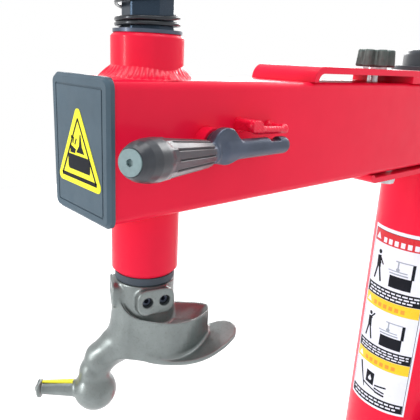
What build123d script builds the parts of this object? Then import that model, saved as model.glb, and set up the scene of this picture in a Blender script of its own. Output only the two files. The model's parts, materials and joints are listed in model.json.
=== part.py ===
from build123d import *
import os
from math import asin, cos, pi, radians, sin

# Swing arm of a tyre changer: a box beam that turns on a round column and carries
# a sliding hexagon bar with the mounting head (duck head) at its free end.
# Millimetres. +Z up, origin at the centre of the column's foot face, the free end
# of the arm towards -X, the lock lever on the -Y side.

# ---- driving dimensions -----------------------------------------------------
ARM_TOP = 900.0
ARM_H = 120.0
ARM_W = 95.0
ARM_WALL = 5.0
ARM_CORNER = 8.0
ARM_BOTTOM = ARM_TOP - ARM_H
ARM_SIDE = ARM_W / 2
ARM_MID = (ARM_TOP + ARM_BOTTOM) / 2

HEX_X = -615.0            # hexagon bar axis, from the column axis
HEX_AF = 41.0             # across flats
HEAD_TURN = -42.0         # the bar and head are turned this far about their axis
CAP_FRONT = HEX_X - 70.0
CAP_THICK = 6.5
BEAM_FRONT = CAP_FRONT + CAP_THICK
BEAM_REAR = 118.0
PLATE_REAR = BEAM_REAR - 4.0

COLUMN_R = 168.3 / 2
COLUMN_WALL = 6.0
FOOT_R = 145.0
FOOT_BORE_R = 60.0
FOOT_THICK = 15.0
FOOT_PCD = 240.0
FOOT_HOLE_R = 9.0

POST_R = 30.0
POST_THREAD_R = 24.0
GUIDE_R = 33.0            # collar and sleeve: one tube through the beam
GUIDE_WALL = 5.0
COLLAR_TOP = ARM_TOP + 38.0
SLEEVE_BOTTOM = ARM_BOTTOM - 67.0

SPRING_WIRE_R = 2.0
SPRING_R = 27.5
SPRING_LENGTH = 264.0
SPRING_TURNS = 16

PLATE_THICK = 7.5
TOP_GAP = 9.5
BOTTOM_GAP = 4.0
TOP_LIP_X = HEX_X + 186.0
BOTTOM_LIP_X = HEX_X + 330.0
SPACER_X = HEX_X + 401.0

LEVER_X = HEX_X + 33.0
LEVER_Y = -74.0
LEVER_Z = ARM_TOP - 54.0
LEVER_SHAFT_R = 10.0
LEVER_BUSH_R = 14.0
STAR_X = HEX_X + 379.0

GAP = 0.3                 # air between curved faces of different bodies
RUN = 0.05                # radial clearance of a running fit
SEAT = 0.02               # radial clearance of a seat inside one body
THROUGH = 5.0             # how far a cutter runs past the faces it cuts

BASE = (Align.CENTER, Align.CENTER, Align.MIN)
nodes = {}


# ---- helpers ----------------------------------------------------------------
def tube(r_out, r_in, z0, z1, x=0.0):
    ring = Circle(r_out) - Circle(r_in)
    return Pos(x, 0, z0) * extrude(ring, z1 - z0)


def rod(r, z0, z1, x=0.0, y=0.0):
    return Pos(x, y, z0) * Cylinder(r, z1 - z0, align=BASE)


def y_rod(r, y0, y1, x, z):
    return Pos(x, y1, z) * Rot(90, 0, 0) * Cylinder(r, y1 - y0, align=BASE)


def x_rod(r, x0, x1, y=0.0, z=0.0):
    return Pos(x0, y, z) * Rot(0, 90, 0) * Cylinder(r, x1 - x0, align=BASE)


def block(x0, x1, y0, y1, z0, z1):
    return Pos((x0 + x1) / 2, (y0 + y1) / 2, (z0 + z1) / 2) * Box(x1 - x0, y1 - y0, z1 - z0)


def hex_prism(across_flats, z0, z1):
    return Pos(0, 0, z0) * extrude(RegularPolygon(across_flats / 2, 6, major_radius=False), z1 - z0)


def on_bar(shape):
    """Place a shape made about Z on the hexagon bar's axis, turned with the head."""
    return Pos(HEX_X, 0, 0) * Rot(0, 0, HEAD_TURN) * shape


def top_rim(shape):
    """The largest edge of a turned shape's top face."""
    return shape.edges().group_by(Axis.Z)[-1].sort_by(SortBy.RADIUS)[-1]


def bottom_rim(shape):
    return shape.edges().group_by(Axis.Z)[0].sort_by(SortBy.RADIUS)[-1]


def hex_bolt(d, length, head_af, head_h):
    """Head below Z=0 with its corners turned off, shank up from it."""
    head = hex_prism(head_af, -head_h, 0)
    head = head & (Pos(0, 0, -head_h) * Cone(head_af * 0.52, head_af * 0.62, head_h, align=BASE))
    return head + Cylinder(d / 2, length, align=BASE)


def hex_nut(d, across_flats, height, clearance):
    return hex_prism(across_flats, 0, height) - rod(d / 2 + clearance, -1, height + 1)


def socket_screw(d, length):
    """Set screw along +Z with a hexagon socket in its top face."""
    return Cylinder(d / 2, length, align=BASE) - hex_prism(d * 0.5, length * 0.55, length + 1)


def beam_section(w, h, r):
    return Plane.YZ * RectangleRounded(w, h, r)


# ---- column, fixed to the machine -------------------------------------------
CAP_PLATE_THICK = 12.0
CAP_PLATE_TOP = ARM_BOTTOM - BOTTOM_GAP - PLATE_THICK - 10.0
THRUST_THICK = 6.0
TURN_BOTTOM = CAP_PLATE_TOP + THRUST_THICK
TOP_PLATE_TOP = ARM_TOP + TOP_GAP + PLATE_THICK
COVER_BASE = TOP_PLATE_TOP + GAP
COVER_BASE_R = 95.0
COVER_BASE_TOP = COVER_BASE + 7.0
COVER_R = 78.0
COVER_H = 26.0
COVER_WALL = 3.5
POST_TOP = COVER_BASE_TOP + 15.0
POST_BELOW = 160.0        # the post runs this far down inside the column
RING_BELOW = 138.0
PIVOT_NUT_AF = 70.0
PIVOT_NUT_H = 14.0

KNOB_TURN = -104.0        # direction of the clamp knob's axis about the column
KNOB_Z = 262.0
KNOB_R = 30.0
KNOB_STUD_R = 8.0
KNOB_BOSS_R = 17.0
KNOB_BOSS_H = 14.0
KNOB_H = 42.0
KNOB_RIBS = 18

LABEL_Z0 = ARM_TOP - 609.0
LABEL_Z1 = ARM_TOP - 252.0
LABEL_MIDDLE = 180.0
LABEL_HALF_ANGLE = radians(41.0)
LABEL_THICK = 0.4


def column_foot():
    foot = tube(FOOT_R, FOOT_BORE_R, 0, FOOT_THICK)
    foot = chamfer(top_rim(foot), 2.0)
    for i in range(4):
        a = radians(45 + 90 * i)
        foot -= rod(FOOT_HOLE_R, -1, FOOT_THICK + 1, FOOT_PCD / 2 * cos(a), FOOT_PCD / 2 * sin(a))
    return foot


def cap_plate():
    plate = tube(COLUMN_R, POST_R + SEAT, CAP_PLATE_TOP - CAP_PLATE_THICK, CAP_PLATE_TOP)
    return chamfer(top_rim(plate), 1.5)


def pivot_post():
    post = rod(POST_R, CAP_PLATE_TOP - POST_BELOW, COVER_BASE)
    post += rod(POST_THREAD_R, COVER_BASE, POST_TOP)
    return chamfer(post.edges().group_by(Axis.Z)[-1], 2.0)


def pivot_nut():
    nut = hex_prism(PIVOT_NUT_AF, COVER_BASE_TOP, COVER_BASE_TOP + PIVOT_NUT_H)
    corners_off = Cone(PIVOT_NUT_AF * 0.6, PIVOT_NUT_AF * 0.53, PIVOT_NUT_H, align=BASE)
    nut = nut & (Pos(0, 0, COVER_BASE_TOP) * corners_off)
    return nut - rod(POST_THREAD_R + SEAT, 0, POST_TOP + THROUGH)


def pivot_cover():
    """Thin cap over the nut, stepped inside where its top edge is rounded."""
    top = COVER_BASE_TOP + COVER_H
    cover = rod(COVER_R, COVER_BASE_TOP, top)
    cover = fillet(cover.edges().group_by(Axis.Z)[-1], 9.0)
    cover -= rod(COVER_R - COVER_WALL, COVER_BASE_TOP - 1, top - COVER_WALL - 6.0)
    return cover - rod(COVER_R - COVER_WALL - 10.5, COVER_BASE_TOP - 1, top - COVER_WALL)


def clamp_knob():
    """Ribbed knob along +Z, standing just off its boss."""
    knob = Pos(0, 0, KNOB_BOSS_H + 0.5) * Cylinder(KNOB_R, KNOB_H, align=BASE)
    knob = fillet(knob.edges().group_by(Axis.Z)[-1], 6.0)
    for i in range(KNOB_RIBS):
        flute = Pos(KNOB_R + 1.5, 0, KNOB_BOSS_H + 5.5) * Cylinder(3.0, KNOB_H, align=BASE)
        knob -= Rot(0, 0, 360 / KNOB_RIBS * i) * flute
    return knob - Cylinder(KNOB_STUD_R, KNOB_H - 2.0, align=BASE)


def column_label():
    """Sheet wrapped round the column on the side that faces the arm's free end."""
    sheet = tube(COLUMN_R + 0.05 + LABEL_THICK, COLUMN_R + 0.05, LABEL_Z0, LABEL_Z1)
    chord = COLUMN_R * cos(LABEL_HALF_ANGLE)
    half_width = COLUMN_R * sin(LABEL_HALF_ANGLE)
    window = block(chord, COLUMN_R + THROUGH, -half_width, half_width, LABEL_Z0, LABEL_Z1)
    return sheet & (Rot(0, 0, LABEL_MIDDLE) * window)


knob_place = Rot(0, 0, KNOB_TURN) * Pos(COLUMN_R - 2.5, 0, KNOB_Z) * Rot(0, 90, 0)
column_tube = tube(COLUMN_R, COLUMN_R - COLUMN_WALL, FOOT_THICK, CAP_PLATE_TOP - CAP_PLATE_THICK)
ring_top = CAP_PLATE_TOP - RING_BELOW
cover_base = tube(COVER_BASE_R, POST_THREAD_R + SEAT, COVER_BASE, COVER_BASE_TOP)

nodes["column_foot"] = column_foot()
nodes["column_tube"] = column_tube - knob_place * Cylinder(KNOB_BOSS_R + RUN, 30)
nodes["column_cap_plate"] = cap_plate()
column_bore_r = COLUMN_R - COLUMN_WALL - SEAT
nodes["post_lower_ring"] = tube(column_bore_r, POST_R + SEAT, ring_top - CAP_PLATE_THICK, ring_top)
nodes["pivot_post"] = pivot_post()
nodes["thrust_washer_lower"] = tube(52.0, POST_R + RUN, CAP_PLATE_TOP, TURN_BOTTOM)
nodes["thrust_washer_upper"] = fillet(top_rim(cover_base), 1.5)
nodes["pivot_nut"] = pivot_nut()
nodes["pivot_cover"] = pivot_cover()
nodes["knob_boss"] = knob_place * (rod(KNOB_BOSS_R, 0, KNOB_BOSS_H) - rod(KNOB_STUD_R, -1, KNOB_BOSS_H + 1))
nodes["knob_stud"] = knob_place * rod(KNOB_STUD_R - 0.03, 0, 34.0)
nodes["column_knob"] = knob_place * clamp_knob()
nodes["column_label"] = column_label()

# ---- swing arm: beam, pivot tube and clamping plates --------------------------
PIVOT_TUBE_R = 42.0
PIVOT_TUBE_WALL = 6.0
PIVOT_BUSH_LENGTH = 36.0
PIVOT_TUBE_TOP = TOP_PLATE_TOP - 0.5
BOLT_D = 16.0
BOLT_AF = 24.0
BOLT_HOLE_R = BOLT_D / 2 + 0.1
PLATE_BOLTS = [(x, y) for x in (HEX_X + 403.0, 74.0) for y in (-27.0, 27.0)]


def arm_beam():
    length = BEAM_REAR - BEAM_FRONT
    outer = extrude(beam_section(ARM_W, ARM_H, ARM_CORNER), length)
    inner = extrude(beam_section(ARM_W - 2 * ARM_WALL, ARM_H - 2 * ARM_WALL, ARM_CORNER - ARM_WALL), length)
    beam = Pos(BEAM_FRONT, 0, ARM_MID) * (outer - inner)
    for r, x in ((GUIDE_R, HEX_X), (PIVOT_TUBE_R, 0.0)):
        beam -= rod(r + SEAT, ARM_BOTTOM - THROUGH, ARM_TOP + THROUGH, x)
    beam -= y_rod(LEVER_BUSH_R + SEAT, -ARM_SIDE - THROUGH, ARM_SIDE + THROUGH, LEVER_X, LEVER_Z)
    beam -= rod(BOLT_HOLE_R, ARM_MID, ARM_TOP + THROUGH, STAR_X)
    for x, y in PLATE_BOLTS:
        beam -= rod(BOLT_HOLE_R, ARM_BOTTOM - THROUGH, ARM_MID, x, y)
    return beam


def lipped_plate(lip_x, gap, sign, z_face):
    """Plate held off the beam by a gap, with its free end bent back to touch the beam."""
    bend = gap + PLATE_THICK
    near = z_face + sign * gap
    far = z_face + sign * bend
    with BuildPart() as plate:
        with BuildSketch(Plane.XZ):
            with BuildLine():
                outer_run = Line((PLATE_REAR, far), (lip_x + bend, far))
                outer_bend = RadiusArc(outer_run @ 1, (lip_x, z_face), -sign * bend)
                foot = Line(outer_bend @ 1, (lip_x + PLATE_THICK, z_face))
                inner_bend = RadiusArc(foot @ 1, (lip_x + bend, near), sign * gap)
                inner_run = Line(inner_bend @ 1, (PLATE_REAR, near))
                Line(inner_run @ 1, outer_run @ 0)
            make_face()
        extrude(amount=ARM_SIDE, both=True)
    return plate.part


pivot_hole = rod(PIVOT_TUBE_R + SEAT, ARM_BOTTOM - 40, ARM_TOP + 40)
star_hole = rod(BOLT_HOLE_R, ARM_TOP - THROUGH, ARM_TOP + 40, STAR_X)
spacer = block(SPACER_X, PLATE_REAR, -ARM_SIDE, ARM_SIDE, ARM_TOP, ARM_TOP + TOP_GAP)
bottom_plate = lipped_plate(BOTTOM_LIP_X, BOTTOM_GAP, -1, ARM_BOTTOM) - pivot_hole
bush_r = PIVOT_TUBE_R - PIVOT_TUBE_WALL - SEAT
bolts = []
bolt_nuts = []
for x, y in PLATE_BOLTS:
    bottom_plate -= rod(BOLT_HOLE_R, ARM_BOTTOM - 40, ARM_BOTTOM + THROUGH, x, y)
    bolts.append(Pos(x, y, ARM_BOTTOM - BOTTOM_GAP - PLATE_THICK) * hex_bolt(BOLT_D, 30.0, BOLT_AF, 10.0))
    bolt_nuts.append(Pos(x, y, ARM_BOTTOM + ARM_WALL) * hex_nut(BOLT_D, BOLT_AF, 12.0, SEAT))

nodes["arm_beam"] = arm_beam()
nodes["pivot_tube"] = tube(PIVOT_TUBE_R, PIVOT_TUBE_R - PIVOT_TUBE_WALL, TURN_BOTTOM + GAP, PIVOT_TUBE_TOP)
nodes["pivot_bush_lower"] = tube(bush_r, POST_R + RUN, TURN_BOTTOM + GAP, TURN_BOTTOM + PIVOT_BUSH_LENGTH)
nodes["pivot_bush_upper"] = tube(bush_r, POST_R + RUN, PIVOT_TUBE_TOP - PIVOT_BUSH_LENGTH, PIVOT_TUBE_TOP)
nodes["top_plate"] = lipped_plate(TOP_LIP_X, TOP_GAP, 1, ARM_TOP) - pivot_hole - star_hole
nodes["top_spacer"] = spacer - pivot_hole
nodes["bottom_plate"] = bottom_plate
nodes["plate_bolts"] = Compound(children=bolts)
nodes["plate_nuts"] = Compound(children=bolt_nuts)

# ---- swing arm: guide tube for the hexagon bar --------------------------------
HEX_GUIDE_LENGTH = 45.0
WELD_H = 12.0
LOWER_WELD_H = 4.0


def guide_tube():
    guide = tube(GUIDE_R, GUIDE_R - GUIDE_WALL, SLEEVE_BOTTOM, COLLAR_TOP, HEX_X)
    guide = chamfer(bottom_rim(guide), 3.5)
    guide = chamfer(top_rim(guide), 3.0)
    return guide - y_rod(LEVER_BUSH_R + 1.0, -ARM_SIDE, ARM_SIDE, LEVER_X, LEVER_Z)


def fillet_weld(z, height, r_low, r_high):
    bead = Pos(HEX_X, 0, z) * Cone(r_low, r_high, height, align=BASE)
    return bead - rod(GUIDE_R + SEAT, z - THROUGH, z + height + THROUGH, HEX_X)


def hex_guide(z0, z1):
    bush = rod(GUIDE_R - GUIDE_WALL - SEAT, z0, z1)
    return on_bar(bush - hex_prism(HEX_AF + 2 * RUN, z0 - 1, z1 + 1))


nodes["guide_tube"] = guide_tube()
nodes["collar_weld"] = fillet_weld(ARM_TOP, WELD_H, GUIDE_R + 9.0, GUIDE_R + 1.0)
nodes["sleeve_weld"] = fillet_weld(ARM_BOTTOM - LOWER_WELD_H, LOWER_WELD_H, GUIDE_R + 0.5, GUIDE_R + 4.0)
nodes["hex_guide_upper"] = hex_guide(COLLAR_TOP - 1 - HEX_GUIDE_LENGTH, COLLAR_TOP - 1)
nodes["hex_guide_lower"] = hex_guide(SLEEVE_BOTTOM + 1, SLEEVE_BOTTOM + 1 + HEX_GUIDE_LENGTH)

# ---- swing arm: plastic end caps, warning triangle, lever stop ----------------
CAP_OVER = 2.0            # the caps stand this far past the beam's faces
FRAME_INSET = 8.5         # shallow groove frame in the cap's face
FRAME_WIDTH = 1.5
FRAME_DEEP = 0.8
PLUG_LENGTH = 20.0
PLUG_WALL = 3.0
TRIANGLE_BASE_Z = ARM_TOP - 93.0
TRIANGLE_TOP_Z = ARM_TOP - 21.0
TRIANGLE_HALF = 41.0
TRIANGLE_THICK = 0.4

STOP_Y = -70.0
STOP_BAR_Z = ARM_TOP - 43.0
STOP_BAR_R = 4.0
STOP_END_X = HEX_X + 118.0
LUG_X0 = HEX_X + 68.0
LUG_X1 = LUG_X0 + 14.0


def section_ring(w, h, corner, wall, depth):
    inner = extrude(beam_section(w - 2 * wall, h - 2 * wall, max(corner - wall, 1.5)), depth)
    return extrude(beam_section(w, h, corner), depth) - inner


def cap():
    """Made with its face at X=0 looking to -X, and its ribs inside the beam."""
    w = ARM_W + 2 * CAP_OVER
    h = ARM_H + 2 * CAP_OVER
    plate = extrude(beam_section(w, h, ARM_CORNER + 1), CAP_THICK)
    plate = chamfer(plate.edges().group_by(Axis.X)[0], 3.0)
    plate -= section_ring(w - 2 * FRAME_INSET, h - 2 * FRAME_INSET, 2.0, FRAME_WIDTH, FRAME_DEEP)
    inside = 2 * ARM_WALL + 0.6
    plug = section_ring(ARM_W - inside, ARM_H - inside, 2.7, PLUG_WALL, PLUG_LENGTH)
    return plate + Pos(CAP_THICK, 0, 0) * plug


def warning_triangle():
    outline = Plane.YZ * Polygon((-TRIANGLE_HALF, TRIANGLE_BASE_Z), (TRIANGLE_HALF, TRIANGLE_BASE_Z),
                                 (0, TRIANGLE_TOP_Z), align=None)
    outline = fillet(outline.vertices(), 5.0)
    return Pos(CAP_FRONT - TRIANGLE_THICK, 0, 0) * extrude(outline, TRIANGLE_THICK)


def lever_stop():
    """A lug on the beam and a round bar above the lever's tail, bent back into the beam."""
    lug = block(LUG_X0, LUG_X1, STOP_Y - 3.5, -ARM_SIDE, STOP_BAR_Z - 2.0, STOP_BAR_Z + 10.5)
    lug = chamfer(lug.edges().filter_by(Axis.Y).group_by(Axis.Z)[-1], 5.0)
    stop = x_rod(STOP_BAR_R, LUG_X1 - 4.0, STOP_END_X, STOP_Y, STOP_BAR_Z)
    stop += Pos(STOP_END_X, STOP_Y, STOP_BAR_Z) * Sphere(STOP_BAR_R)
    stop += y_rod(STOP_BAR_R, STOP_Y, -ARM_SIDE, STOP_END_X, STOP_BAR_Z)
    return lug + stop


nodes["end_cap"] = Pos(CAP_FRONT, 0, ARM_MID) * cap()
nodes["rear_cap"] = Pos(BEAM_REAR + CAP_THICK, 0, ARM_MID) * Rot(0, 0, 180) * cap()
nodes["end_cap_label"] = warning_triangle()
nodes["lever_stop"] = lever_stop()

# ---- lock lever ---------------------------------------------------------------
SHAFT_END_Y = ARM_SIDE + 12.0
CAM_HALF = 22.0
CAM_OFFSET = 1.0
CAM_R = LEVER_SHAFT_R - 1.6
CLIP_Y = SHAFT_END_Y - 5.4
CLIP_THICK = 1.4
CLIP_GROOVE_R = 9.0
PIN_Y = -65.0
PIN_R = 2.5
PIN_LENGTH = 25.0
HUB_R = 16.5
HUB_FRONT = -3.0
HUB_BACK = 6.0
BOSS_R = 13.0
BOSS_BACK = 13.0
BAR_R = 9.5               # the lever's round bar, in front of its hub
BAR_DROP = 4.0            # the bar's axis is this far below the hub's
TAIL_LENGTH = 84.0
GRIP_OUT = 22.0           # the grip leans away from the beam by this angle, so a hand clears it
GRIP_UP = 4.9
GRIP_HEEL = (-16.6, 0.0, -5.0)
GRIP_LENGTH = 119.0
GRIP_FLUTES = 12
FLUTE_TURN = 27.6
SHANK_ROOT = 9.0          # the bar stops this far behind the grip's heel, short of the bearing
SHANK_R = 5.0
SHANK_SHOULDER = 12.0     # the bar runs this far into the grip, then a thinner shank
PLUG_R = 9.4
PLUG_DEEP = 2.0
PLUG_HEX = 5.0


def on_lever(shape):
    """Place a shape made about the lever's pivot."""
    return Pos(LEVER_X, LEVER_Y, LEVER_Z) * shape


def on_grip(shape):
    """Place a shape made along -X from the grip's heel, leaning out and slightly up."""
    return on_lever(Pos(*GRIP_HEEL) * Rot(0, 0, GRIP_OUT) * Rot(0, GRIP_UP, 0) * shape)


def shaft_rod(r, y0, y1):
    return y_rod(r, y0, y1, LEVER_X, LEVER_Z)


def lever_bush(y0, y1):
    return shaft_rod(LEVER_BUSH_R, y0, y1) - shaft_rod(LEVER_SHAFT_R + RUN, y0 - 1, y1 + 1)


def cam_shaft():
    """Round shaft with an offset waist between the bushes and a groove for the clip."""
    shaft = shaft_rod(LEVER_SHAFT_R, LEVER_Y, -CAM_HALF) + shaft_rod(LEVER_SHAFT_R, CAM_HALF, SHAFT_END_Y)
    shaft += y_rod(CAM_R, -CAM_HALF, CAM_HALF, LEVER_X + CAM_OFFSET, LEVER_Z)
    groove = shaft_rod(LEVER_SHAFT_R + 2, CLIP_Y, CLIP_Y + CLIP_THICK)
    groove -= shaft_rod(CLIP_GROOVE_R, CLIP_Y, SHAFT_END_Y)
    return shaft - groove - pin_hole


def shaft_clip():
    clip = shaft_rod(12.5, CLIP_Y + 0.1, CLIP_Y + CLIP_THICK - 0.1)
    clip -= shaft_rod(CLIP_GROOVE_R + SEAT, CLIP_Y, SHAFT_END_Y)
    return clip - block(LEVER_X - 3, LEVER_X + 3, CLIP_Y, SHAFT_END_Y, LEVER_Z - 20, LEVER_Z)


def lever_body():
    """Hub, round bar with a rounded tail, and the shank that the grip is pressed on."""
    hub = y_rod(HUB_R, HUB_FRONT, HUB_BACK, 0, 0)
    hub = fillet(hub.edges().filter_by(GeomType.CIRCLE), 2.0)
    hub += y_rod(BOSS_R, 0, BOSS_BACK, 0, 0)
    tail_end = TAIL_LENGTH - BAR_R
    tail = x_rod(BAR_R, 0, tail_end, 0, -BAR_DROP) + Pos(tail_end, 0, -BAR_DROP) * Sphere(BAR_R)
    elbow = Pos(0, 0, -BAR_DROP) * Sphere(BAR_R)
    shank = x_rod(BAR_R, -SHANK_SHOULDER, SHANK_ROOT) + x_rod(SHANK_R, 8.0 - GRIP_LENGTH, -SHANK_SHOULDER)
    body = on_lever(hub + tail + elbow) + on_grip(shank)
    return body - shaft_rod(LEVER_SHAFT_R + SEAT, LEVER_Y, 0) - pin_hole


def lever_grip():
    """A bulb that tapers towards the hub, with flutes along the taper."""
    nose = -GRIP_LENGTH
    with BuildPart() as turned:
        with BuildSketch(Plane.XZ):
            with BuildLine():
                heel = Line((0, 0), (0, 11.4))
                bevel = Line(heel @ 1, (-2.0, 12.2))
                taper = Line(bevel @ 1, (-78.0, 15.5))
                bulb = TangentArc(taper @ 1, (-100.0, 15.9), tangent=(-1, 0.043))
                front = ThreePointArc(bulb @ 1, (-112.5, 13.4), (nose, 9.9))
                face = Line(front @ 1, (nose, 0))
                Line(face @ 1, heel @ 0)
            make_face()
        revolve(axis=Axis.X)
    grip = turned.part
    for i in range(GRIP_FLUTES):
        flute = Pos(-37.0, 0, 15.6) * Rot(0, 2.4, 0) * Box(80, 2.2, 6)
        grip -= Rot(360 / GRIP_FLUTES * i + FLUTE_TURN, 0, 0) * flute
    grip -= x_rod(SHANK_R + SEAT, nose + 7.0, 0)
    grip -= x_rod(BAR_R + SEAT, -SHANK_SHOULDER - 0.5, 1)
    return grip - x_rod(PLUG_R + SEAT, nose - 1, nose + PLUG_DEEP)


pin_hole = Pos(LEVER_X, PIN_Y, LEVER_Z) * Cylinder(PIN_R + RUN, 60)
plug_socket = Rot(0, -90, 0) * hex_prism(PLUG_HEX, GRIP_LENGTH - 1.5, GRIP_LENGTH + 2.0)
grip_plug = x_rod(PLUG_R, -GRIP_LENGTH - 0.8, PLUG_DEEP - GRIP_LENGTH) - plug_socket
washer_y = ARM_SIDE + 3.2
shaft_washer = shaft_rod(16.0, washer_y, washer_y + 2.5)

nodes["lever_bush_near"] = lever_bush(LEVER_Y + BOSS_BACK + GAP, -GUIDE_R - 1.0)
nodes["lever_bush_far"] = lever_bush(GUIDE_R + 1.0, ARM_SIDE + 3.0)
nodes["cam_shaft"] = cam_shaft()
nodes["shaft_clip"] = shaft_clip()
nodes["shaft_washer"] = shaft_washer - shaft_rod(LEVER_SHAFT_R + RUN, 0, SHAFT_END_Y)
nodes["lever"] = lever_body()
nodes["lever_pin"] = Pos(LEVER_X, PIN_Y, LEVER_Z) * Cylinder(PIN_R, PIN_LENGTH)
nodes["lever_grip"] = on_grip(lever_grip())
nodes["grip_plug"] = on_grip(grip_plug)

# ---- star knob on the top plate -----------------------------------------------
STAR_LOBES = 6
STAR_H = 23.0
STAR_Z = TOP_PLATE_TOP + 2.6
STAR_STUD_R = 8.0
STAR_NUT_H = 13.0


def star_knob():
    outline = Circle(19.0)
    for i in range(STAR_LOBES):
        outline += Rot(0, 0, 360 / STAR_LOBES * i) * Pos(18.5, 0) * Circle(7.5)
    knob = Pos(STAR_X, 0, STAR_Z) * extrude(outline, STAR_H)
    knob = fillet(knob.edges().group_by(Axis.Z)[-1], 2.0)
    return knob - rod(STAR_STUD_R + SEAT, 0, STAR_Z + 17.0, STAR_X)


star_nut = hex_nut(2 * STAR_STUD_R, BOLT_AF, STAR_NUT_H, RUN)
nodes["star_knob"] = star_knob()
nodes["star_stud"] = rod(STAR_STUD_R, ARM_TOP - 14.0, STAR_Z + 16.9, STAR_X)
nodes["star_washer"] = tube(16.0, STAR_STUD_R + GAP, TOP_PLATE_TOP, STAR_Z - 0.1, STAR_X)
nodes["star_nut"] = Pos(STAR_X, 0, ARM_TOP - ARM_WALL - STAR_NUT_H) * star_nut

# ---- hexagon bar and its spring -----------------------------------------------
SEAT_THICK = 3.0
SPRING_BASE = COLLAR_TOP + SEAT_THICK
BAR_TOP = SPRING_BASE + SPRING_LENGTH + 4.0
WASHER_TOP = BAR_TOP + 6.0
TOP_CAP_H = 20.0
HEAD_RIM = SLEEVE_BOTTOM - 9.0
HEAD_BOTTOM = ARM_BOTTOM - 158.0
SPIGOT_R = 15.0
SPIGOT_BOTTOM = HEAD_BOTTOM + 14.0
HEAD_BOLT_D = 10.0
TOP_BOLT_D = 12.0


def hex_bar():
    """Hexagon bar with eased corners, turned down at the foot, drilled for a bolt at each end."""
    bar = hex_prism(HEX_AF, HEAD_RIM, BAR_TOP) + rod(SPIGOT_R, SPIGOT_BOTTOM, HEAD_RIM)
    bar = bar & rod(HEX_AF / 2 / cos(pi / 6) - 0.6, 0, BAR_TOP + THROUGH)
    bar -= rod(HEAD_BOLT_D / 2 + 0.1, HEAD_BOTTOM, HEAD_BOTTOM + 46)
    return bar - rod(TOP_BOLT_D / 2 + 0.1, BAR_TOP - 30, BAR_TOP + 1)


def bump_ring():
    ring = rod(30.0, HEAD_RIM, SLEEVE_BOTTOM - 0.5)
    ring = chamfer(bottom_rim(ring), 1.5)
    return ring - hex_prism(HEX_AF + 0.2, 0, SLEEVE_BOTTOM)


def return_spring():
    rise = (SPRING_LENGTH - 2 * SPRING_WIRE_R) / SPRING_TURNS
    path = Helix(pitch=rise, height=rise * SPRING_TURNS, radius=SPRING_R)
    wire = Pos(HEX_X, 0, SPRING_BASE + SPRING_WIRE_R) * path
    section = Plane(origin=wire @ 0, z_dir=wire % 0) * Circle(SPRING_WIRE_R)
    return sweep(section, path=wire, is_frenet=True)


def bar_top_cap():
    top = rod(34.0, WASHER_TOP, WASHER_TOP + TOP_CAP_H)
    top = fillet(top.edges().group_by(Axis.Z)[-1], 7.0)
    return top - rod(14.0, WASHER_TOP - 1, WASHER_TOP + TOP_CAP_H - 6.0)


nodes["hex_bar"] = on_bar(hex_bar())
nodes["bump_ring"] = on_bar(bump_ring())
nodes["spring_seat"] = tube(31.0, 24.4, COLLAR_TOP, SPRING_BASE, HEX_X)
nodes["return_spring"] = return_spring()
nodes["spring_washer"] = on_bar(tube(32.0, 6.5, BAR_TOP + GAP, WASHER_TOP))
nodes["bar_top_cap"] = on_bar(bar_top_cap())
nodes["bar_top_bolt"] = on_bar(Pos(0, 0, WASHER_TOP) * Rot(180, 0, 0) * hex_bolt(TOP_BOLT_D, 34.0, 19.0, 7.5))

# ---- mounting head ------------------------------------------------------------
# Made about the bar axis: +X along the bill, -Y the outer face.
RIDGE_Z = HEAD_RIM - 33.0
BILL_Z = HEAD_RIM - 78.0
BILL_THICK = 6.0
BILL_TILT = -17.0
PAD_Z = HEAD_RIM - 15.0
PAD_TURNS = (28.0, -74.0)
SCREW_D = 9.0
SCREW_SIDE = 8.7
BALL_C = Vector(-50.5, -12.0, HEAD_RIM - 130.0)
BALL_R = 22.5
PEG_DIR = Vector(-1.0, -0.08, 0.0).normalized()
PEG_LENGTH = 58.0


def limb_chain(stations):
    """Spheres joined by cones: a cast limb of changing thickness."""
    limb = None
    for centre, r in stations:
        ball = Pos(*centre) * Sphere(r)
        limb = ball if limb is None else limb + ball
    for (a, r0), (b, r1) in zip(stations[:-1], stations[1:]):
        along = b - a
        s = asin((r0 - r1) / along.length)
        plane = Plane(origin=a + along.normalized() * (r0 * sin(s)), z_dir=along)
        frustum = along.length - r0 * sin(s) + r1 * sin(s)
        limb += plane * Cone(r0 * cos(s), r1 * cos(s), frustum, align=BASE)
    return limb


def head_socket():
    socket = rod(30.0, RIDGE_Z - 40, HEAD_RIM - 0.2)
    return fillet(socket.edges().group_by(Axis.Z)[-1], 1.5)


def head_wall():
    """Wall with the ridge along its top, scooped out behind the ridge."""
    outline = Polygon((-27, 8), (-25, -14), (-12, -25), (19, -39), (46, -32), (61, -18), (71, -2), (64, 18),
                      (20, 30), (-20, 22), align=None)
    outline = fillet(outline.vertices(), 3.0)
    base = BILL_Z - 4.0
    wall = Pos(0, 0, base) * extrude(outline, RIDGE_Z - base)
    return wall - Pos(36, -6, RIDGE_Z + 28) * Sphere(36)


def head_bill():
    """Thin fan that rises towards its tip."""
    rounds = [((77, -18), 21.0), ((42, -34), 12.0), ((22, -34), 9.0), ((-4, 0), 14.0)]
    outline = make_hull([Pos(*centre) * edge for centre, r in rounds for edge in Circle(r).edges()])
    lift = Pos(13, -38, BILL_Z - 4) * Rot(0, BILL_TILT, 0) * Pos(-13, 38, 0)
    return lift * extrude(outline, BILL_THICK)


def screw_pads():
    pad = Box(38, 12, 27)
    pad = fillet(pad.edges().filter_by(Axis.Y), 9.0)
    return [Rot(0, 0, turn) * Pos(0, -28.0, PAD_Z) * pad for turn in PAD_TURNS]


def head_peg():
    plane = Plane(origin=BALL_C, z_dir=PEG_DIR)
    disc = Pos(0, 0, PEG_LENGTH - 2.0) * Cylinder(9.3, 4.0, align=BASE)
    return plane * Cone(9.3, 6.6, PEG_LENGTH, align=BASE) + plane * disc


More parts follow.
